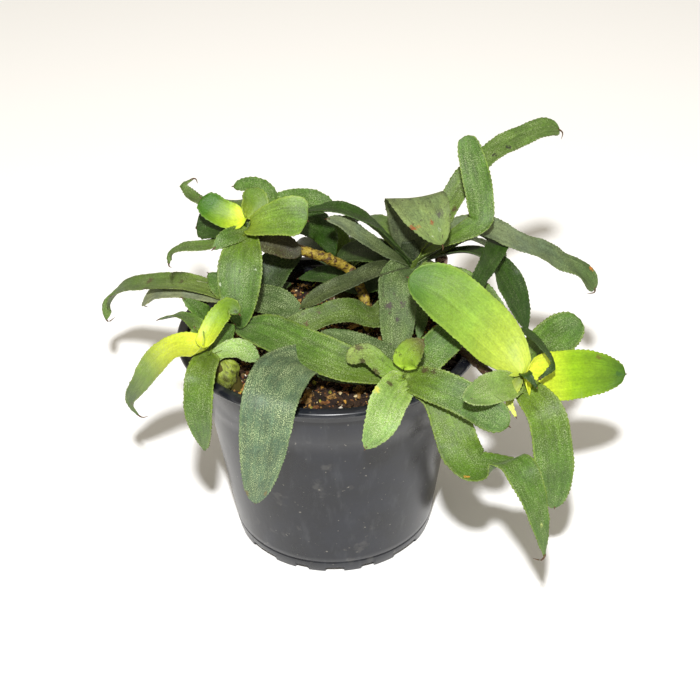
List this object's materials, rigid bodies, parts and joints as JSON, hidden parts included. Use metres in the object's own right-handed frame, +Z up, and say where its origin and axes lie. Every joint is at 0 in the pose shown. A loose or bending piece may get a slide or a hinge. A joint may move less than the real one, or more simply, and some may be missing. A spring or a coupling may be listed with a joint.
{
  "type": "potted neoregelia lilliputiana",
  "caption": "Clumping dwarf bromeliad of arching strap leaves on brown stolons, growing in bark mix in a small black nursery pot.",
  "frame": {"origin": "centre of the pot's underside, on the surface that the pot stands on", "axes": "+Z up along the pot's axis; -Y to the side of the plant that faces the viewer"},
  "size_m": [0.2045, 0.1542, 0.1522],
  "materials": {
    "pot_polypropylene": "satin, dusty",
    "bark_mix": "rough, crumbly",
    "green_leaf": "satin with fine scurf",
    "grey_green_leaf": "satin with grey scurf",
    "yellow_green_leaf": "satin",
    "brown_stolon": "dry, scaly"
  },
  "bodies": {
    "root": {"nursery_pot": "pot_polypropylene", "potting_mix": "bark_mix", "rosette_a_leaves": "green_leaf", "rosette_b_leaves": "grey_green_leaf", "rosette_c_leaves": "green_leaf", "rosette_d_leaves": "grey_green_leaf", "rosette_e_leaves": "green_leaf", "rosette_h_leaves": "grey_green_leaf", "rosette_j_leaves": "grey_green_leaf", "rosette_a_heart": "yellow_green_leaf", "rosette_c_heart": "yellow_green_leaf", "rosette_d_heart": "yellow_green_leaf", "rosette_e_heart": "yellow_green_leaf", "stolon_a": "brown_stolon", "stolon_e": "brown_stolon", "stolon_stump": "brown_stolon"}
  },
  "joints": []
}
